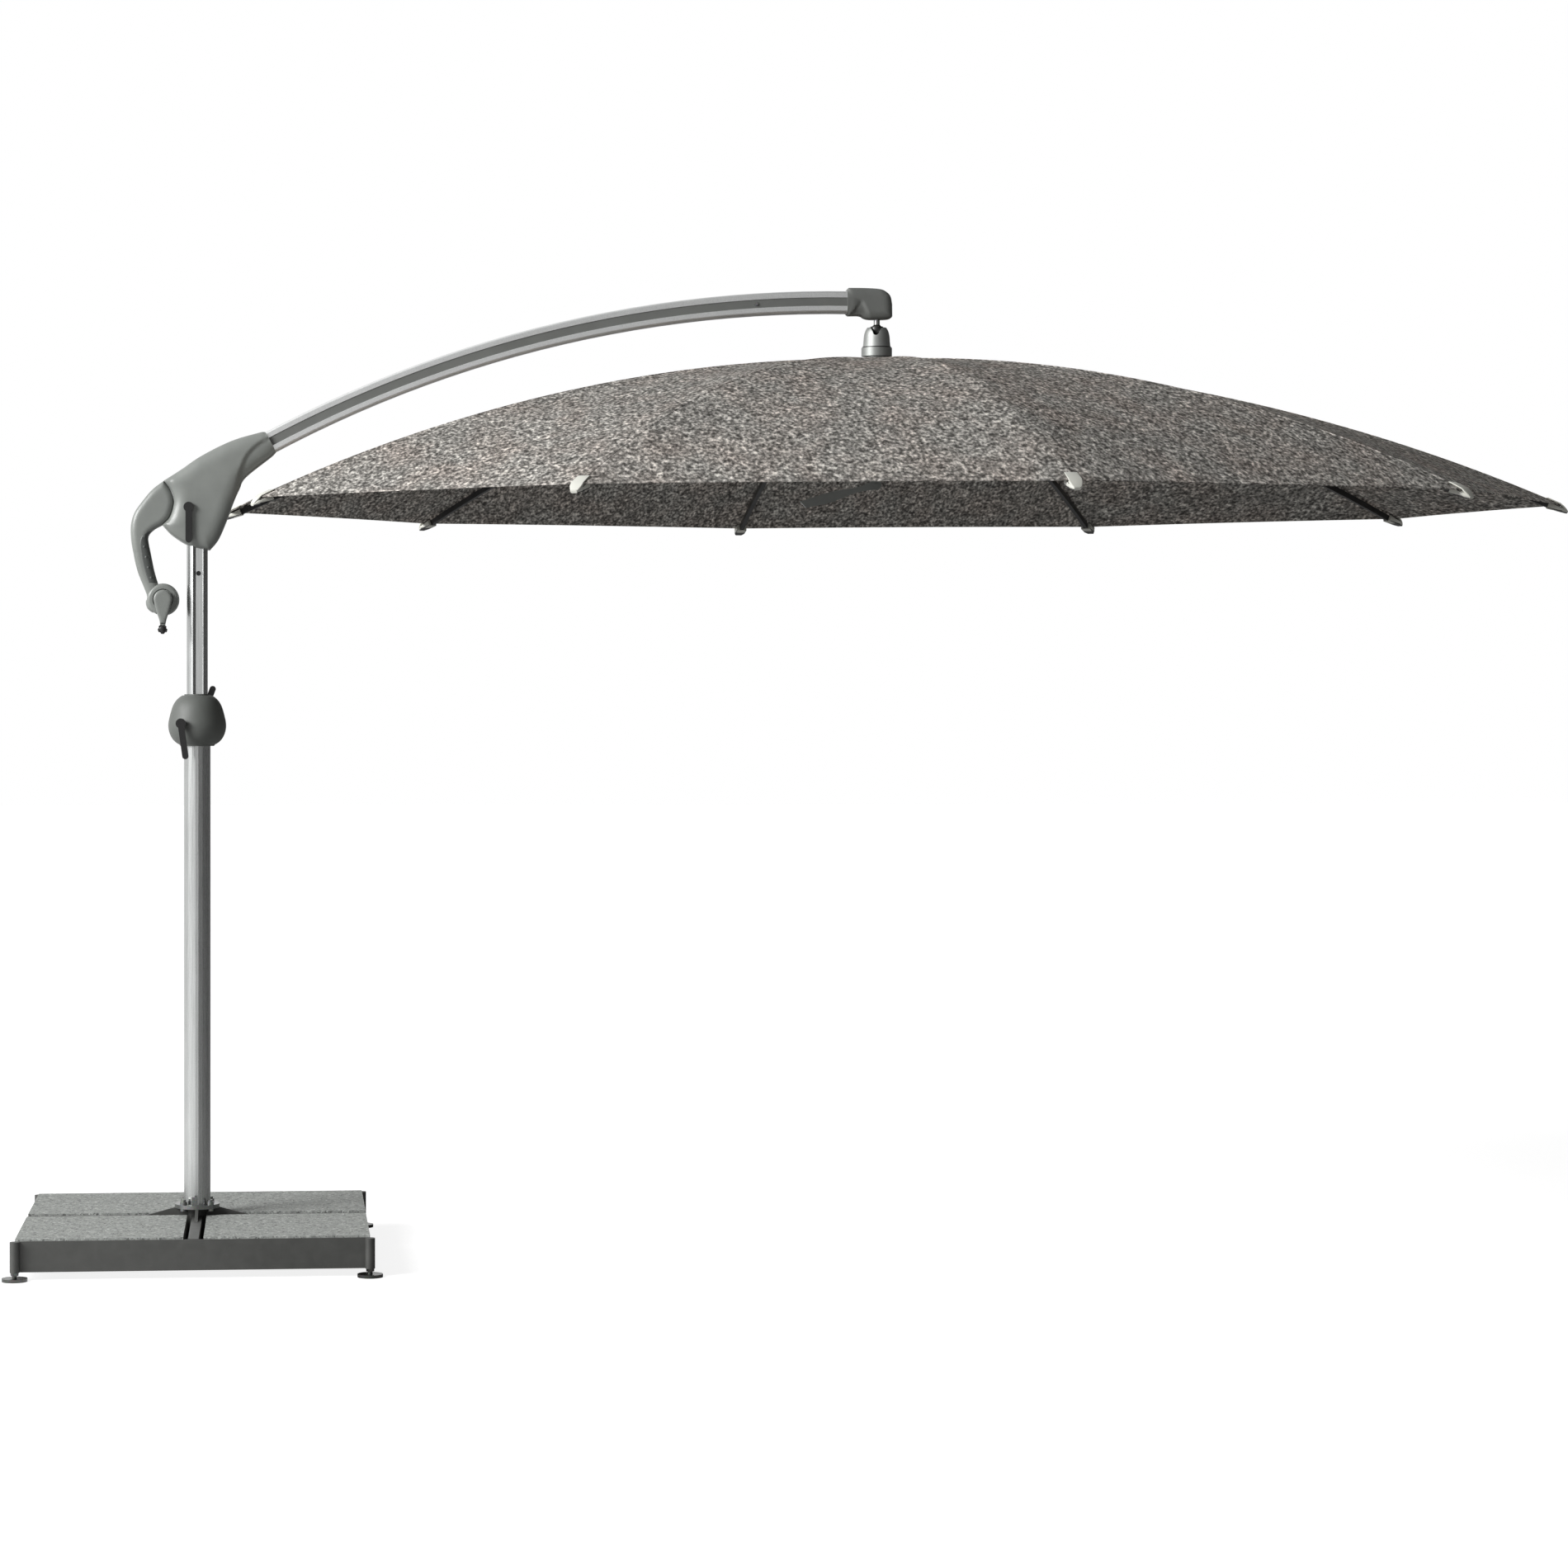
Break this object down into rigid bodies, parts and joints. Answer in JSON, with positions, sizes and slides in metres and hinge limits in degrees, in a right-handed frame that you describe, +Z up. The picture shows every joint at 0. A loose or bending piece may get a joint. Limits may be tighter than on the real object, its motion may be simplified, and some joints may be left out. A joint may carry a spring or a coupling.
{
  "type": "cantilever parasol",
  "caption": "Cantilever parasol: weighted slab base, telescopic mast, crank head, curved arm and a folding ribbed canopy hung from a ball joint.",
  "frame": {"origin": "on the mast axis at the floor under the four feet", "axes": "+Z up, +X along the arm from the mast towards the canopy, +Y to the left of that"},
  "size_m": [3.9436, 3.5042, 2.5005],
  "materials": {
    "granite": "matte",
    "frame_steel": "satin",
    "zinc": "satin",
    "mast_aluminium": "satin",
    "cast_aluminium": "satin",
    "grey_plastic": "satin",
    "black_plastic": "satin",
    "rib_aluminium": "satin",
    "cloth": "matte",
    "white_plastic": "satin"
  },
  "bodies": {
    "base": {"base_frame": "frame_steel", "base_cross": "frame_steel", "granite_slabs": "granite", "base_flange": "zinc", "mast_flange": "zinc", "flange_bolts": "zinc", "lower_mast": "mast_aluminium", "collar_shell": "grey_plastic", "collar_bush": "black_plastic"},
    "collar_lever_front": {"collar_lever_front": "black_plastic"},
    "collar_lever_back": {"collar_lever_back": "black_plastic"},
    "mast": {"upper_mast": "mast_aluminium", "mast_foot_bush": "black_plastic", "mast_screws": "zinc", "thrust_washer": "black_plastic"},
    "head": {"head_core": "cast_aluminium", "head_shell_front": "grey_plastic", "head_shell_back": "grey_plastic", "crank_arm": "grey_plastic", "crank_arm_panel": "grey_plastic", "arm_tube": "mast_aluminium", "arm_inlays": "grey_plastic", "arm_screws": "zinc", "arm_end_cap": "cast_aluminium", "ball_stud": "zinc"},
    "head_lever": {"head_lever": "black_plastic"},
    "crank": {"winch_drum": "zinc", "crank_handle": "grey_plastic"},
    "knob": {"crank_knob": "black_plastic"},
    "pulley": {"end_pulley": "black_plastic"},
    "liner": {"socket_liner": "black_plastic"},
    "cup": {"ball_cup": "cast_aluminium"},
    "hub": {"crown": "cast_aluminium", "canopy": "cloth"},
    "runner": {"runner": "cast_aluminium"},
    "grip": {"canopy_grip": "cast_aluminium"},
    "foot_1": {"foot_1": "zinc"},
    "foot_2": {"foot_2": "zinc"},
    "foot_3": {"foot_3": "zinc"},
    "foot_4": {"foot_4": "zinc"},
    "rib_01": {"rib_01": "rib_aluminium"},
    "strut_01": {"strut_01": "rib_aluminium"},
    "rib_02": {"rib_02": "rib_aluminium"},
    "strut_02": {"strut_02": "rib_aluminium"},
    "rib_03": {"rib_03": "rib_aluminium"},
    "strut_03": {"strut_03": "rib_aluminium"},
    "rib_04": {"rib_04": "rib_aluminium"},
    "strut_04": {"strut_04": "rib_aluminium"},
    "rib_05": {"rib_05": "rib_aluminium"},
    "strut_05": {"strut_05": "rib_aluminium"},
    "rib_06": {"rib_06": "rib_aluminium"},
    "strut_06": {"strut_06": "rib_aluminium"},
    "rib_07": {"rib_07": "rib_aluminium"},
    "strut_07": {"strut_07": "rib_aluminium"},
    "rib_08": {"rib_08": "rib_aluminium"},
    "strut_08": {"strut_08": "rib_aluminium"},
    "rib_09": {"rib_09": "rib_aluminium"},
    "strut_09": {"strut_09": "rib_aluminium"},
    "rib_10": {"rib_10": "rib_aluminium"},
    "strut_10": {"strut_10": "rib_aluminium"}
  },
  "joints": [
    {"name": "foot_1_level", "type": "slide", "parent": "base", "child": "foot_1", "axis": [0, 0, -1], "range_m": [0, 0.012]},
    {"name": "foot_2_level", "type": "slide", "parent": "base", "child": "foot_2", "axis": [0, 0, -1], "range_m": [0, 0.012]},
    {"name": "foot_3_level", "type": "slide", "parent": "base", "child": "foot_3", "axis": [0, 0, -1], "range_m": [0, 0.012]},
    {"name": "foot_4_level", "type": "slide", "parent": "base", "child": "foot_4", "axis": [0, 0, -1], "range_m": [0, 0.012]},
    {"name": "collar_lever_front_turn", "type": "hinge", "parent": "base", "child": "collar_lever_front", "pos_m": [-0.04, -0.0773, 1.362], "axis": [0, 1, 0], "range_deg": [-30, 90]},
    {"name": "collar_lever_back_turn", "type": "hinge", "parent": "base", "child": "collar_lever_back", "pos_m": [0.008, 0.0773, 1.374], "axis": [0, 1, 0], "range_deg": [-90, 30]},
    {"name": "mast_lift", "type": "slide", "parent": "base", "child": "mast", "axis": [0, 0, 1], "range_m": [-0.1, 0.15]},
    {"name": "head_swivel", "type": "hinge", "parent": "mast", "child": "head", "pos_m": [0, 0, 1.9], "axis": [0, 0, 1], "continuous": true},
    {"name": "head_lever_turn", "type": "hinge", "parent": "head", "child": "head_lever", "pos_m": [-0.021, -0.0383, 1.917], "axis": [0, 1, 0], "range_deg": [-45, 90]},
    {"name": "canopy_tilt_side", "type": "hinge", "parent": "head", "child": "liner", "pos_m": [1.768, 0, 2.39303], "axis": [1, 0, 0], "range_deg": [-12, 12]},
    {"name": "canopy_tilt_out", "type": "hinge", "parent": "liner", "child": "cup", "pos_m": [1.768, 0, 2.39303], "axis": [0, 1, 0], "range_deg": [-20, 0]},
    {"name": "canopy_turn", "type": "hinge", "parent": "cup", "child": "hub", "pos_m": [1.768, 0, 2.39303], "axis": [-0.0025, -0.0292, 0.9996], "range_deg": [-11.5, 4]},
    {"name": "rib_01_fold", "type": "hinge", "parent": "hub", "child": "rib_01", "pos_m": [1.81877, -0.00954, 2.30083], "axis": [0.2351, 0.9715, 0.029], "range_deg": [0, 74], "deforming": ["canopy"]},
    {"name": "strut_01_fold", "type": "hinge", "parent": "rib_01", "child": "strut_01", "pos_m": [2.491, -0.16926, 2.20194], "axis": [0.2351, 0.9715, 0.029], "range_deg": [-141.63, 0]},
    {"name": "rib_02_fold", "type": "hinge", "parent": "hub", "child": "rib_02", "pos_m": [1.8163, 0.02249, 2.30176], "axis": [-0.3811, 0.9242, 0.0261], "range_deg": [0, 74]},
    {"name": "strut_02_fold", "type": "hinge", "parent": "rib_02", "child": "strut_02", "pos_m": [2.45574, 0.28862, 2.21523], "axis": [-0.3811, 0.9242, 0.0261], "range_deg": [-141.63, 0]},
    {"name": "rib_03_fold", "type": "hinge", "parent": "hub", "child": "rib_03", "pos_m": [1.79547, 0.04696, 2.30243], "axis": [-0.8517, 0.5238, 0.0132], "range_deg": [0, 74]},
    {"name": "strut_03_fold", "type": "hinge", "parent": "rib_03", "child": "strut_03", "pos_m": [2.15796, 0.63836, 2.22471], "axis": [-0.8517, 0.5238, 0.0132], "range_deg": [-141.63, 0]},
    {"name": "rib_04_fold", "type": "hinge", "parent": "hub", "child": "rib_04", "pos_m": [1.76424, 0.05451, 2.30257], "axis": [-0.997, -0.0767, -0.0047], "range_deg": [0, 74]},
    {"name": "strut_04_fold", "type": "hinge", "parent": "rib_04", "child": "strut_04", "pos_m": [1.71141, 0.74636, 2.22676], "axis": [-0.997, -0.0767, -0.0047], "range_deg": [-141.63, 0]},
    {"name": "rib_05_fold", "type": "hinge", "parent": "hub", "child": "rib_05", "pos_m": [1.73452, 0.04227, 2.30214], "axis": [-0.7615, -0.6478, -0.0208], "range_deg": [0, 74]},
    {"name": "strut_05_fold", "type": "hinge", "parent": "rib_05", "child": "strut_05", "pos_m": [1.28665, 0.57137, 2.2206], "axis": [-0.7615, -0.6478, -0.0208], "range_deg": [-141.63, 0]},
    {"name": "rib_06_fold", "type": "hinge", "parent": "hub", "child": "rib_06", "pos_m": [1.71769, 0.01491, 2.3013], "axis": [-0.2351, -0.9715, -0.029], "range_deg": [0, 74]},
    {"name": "strut_06_fold", "type": "hinge", "parent": "rib_06", "child": "strut_06", "pos_m": [1.04593, 0.18024, 2.20857], "axis": [-0.2351, -0.9715, -0.029], "range_deg": [-141.63, 0]},
    {"name": "rib_07_fold", "type": "hinge", "parent": "hub", "child": "rib_07", "pos_m": [1.72015, -0.01712, 2.30037], "axis": [0.3811, -0.9242, -0.0261], "range_deg": [0, 74]},
    {"name": "strut_07_fold", "type": "hinge", "parent": "rib_07", "child": "strut_07", "pos_m": [1.08119, -0.27765, 2.19527], "axis": [0.3811, -0.9242, -0.0261], "range_deg": [-141.63, 0]},
    {"name": "rib_08_fold", "type": "hinge", "parent": "hub", "child": "rib_08", "pos_m": [1.74098, -0.04158, 2.2997], "axis": [0.8517, -0.5238, -0.0132], "range_deg": [0, 74]},
    {"name": "strut_08_fold", "type": "hinge", "parent": "rib_08", "child": "strut_08", "pos_m": [1.37897, -0.62738, 2.18579], "axis": [0.8517, -0.5238, -0.0132], "range_deg": [-141.63, 0]},
    {"name": "rib_09_fold", "type": "hinge", "parent": "hub", "child": "rib_09", "pos_m": [1.77222, -0.04914, 2.29956], "axis": [0.997, 0.0767, 0.0047], "range_deg": [0, 74]},
    {"name": "strut_09_fold", "type": "hinge", "parent": "rib_09", "child": "strut_09", "pos_m": [1.82552, -0.73539, 2.18374], "axis": [0.997, 0.0767, 0.0047], "range_deg": [-141.63, 0]},
    {"name": "rib_10_fold", "type": "hinge", "parent": "hub", "child": "rib_10", "pos_m": [1.80193, -0.0369, 2.29999], "axis": [0.7615, 0.6478, 0.0208], "range_deg": [0, 74]},
    {"name": "strut_10_fold", "type": "hinge", "parent": "rib_10", "child": "strut_10", "pos_m": [2.25028, -0.5604, 2.18991], "axis": [0.7615, 0.6478, 0.0208], "range_deg": [-141.63, 0]},
    {"name": "runner_slide", "type": "slide", "parent": "hub", "child": "runner", "axis": [-0.0025, -0.0292, 0.9996], "range_m": [-1.126, 0]},
    {"name": "crank_turn", "type": "hinge", "parent": "head", "child": "crank", "pos_m": [-0.087, 0, 1.681], "axis": [0, 1, 0], "range_deg": [0, 2960]},
    {"name": "knob_spin", "type": "hinge", "parent": "crank", "child": "knob", "pos_m": [-0.087, -0.03, 1.603], "axis": [0, 1, 0], "continuous": true},
    {"name": "pulley_turn", "type": "hinge", "parent": "head", "child": "pulley", "pos_m": [1.754, 0, 2.44803], "axis": [0, 1, 0], "range_deg": [0, 4588]},
    {"name": "grip_fold", "type": "hinge", "parent": "runner", "child": "grip", "pos_m": [1.769, 0.01183, 1.9882], "axis": [0.0768, -0.9966, -0.0289], "range_deg": [-8, 60]}
  ],
  "couplings": [
    {"joint": "strut_01_fold", "follows": "rib_01_fold", "ratio": -1.9139},
    {"joint": "rib_02_fold", "follows": "rib_01_fold", "ratio": 1},
    {"joint": "strut_02_fold", "follows": "rib_01_fold", "ratio": -1.9139},
    {"joint": "rib_03_fold", "follows": "rib_01_fold", "ratio": 1},
    {"joint": "strut_03_fold", "follows": "rib_01_fold", "ratio": -1.9139},
    {"joint": "rib_04_fold", "follows": "rib_01_fold", "ratio": 1},
    {"joint": "strut_04_fold", "follows": "rib_01_fold", "ratio": -1.9139},
    {"joint": "rib_05_fold", "follows": "rib_01_fold", "ratio": 1},
    {"joint": "strut_05_fold", "follows": "rib_01_fold", "ratio": -1.9139},
    {"joint": "rib_06_fold", "follows": "rib_01_fold", "ratio": 1},
    {"joint": "strut_06_fold", "follows": "rib_01_fold", "ratio": -1.9139},
    {"joint": "rib_07_fold", "follows": "rib_01_fold", "ratio": 1},
    {"joint": "strut_07_fold", "follows": "rib_01_fold", "ratio": -1.9139},
    {"joint": "rib_08_fold", "follows": "rib_01_fold", "ratio": 1},
    {"joint": "strut_08_fold", "follows": "rib_01_fold", "ratio": -1.9139},
    {"joint": "rib_09_fold", "follows": "rib_01_fold", "ratio": 1},
    {"joint": "strut_09_fold", "follows": "rib_01_fold", "ratio": -1.9139},
    {"joint": "rib_10_fold", "follows": "rib_01_fold", "ratio": 1},
    {"joint": "strut_10_fold", "follows": "rib_01_fold", "ratio": -1.9139},
    {"joint": "runner_slide", "follows": "rib_01_fold", "m_per_rad": -0.8704},
    {"joint": "crank_turn", "follows": "rib_01_fold", "ratio": 40},
    {"joint": "pulley_turn", "follows": "rib_01_fold", "ratio": 62}
  ]
}
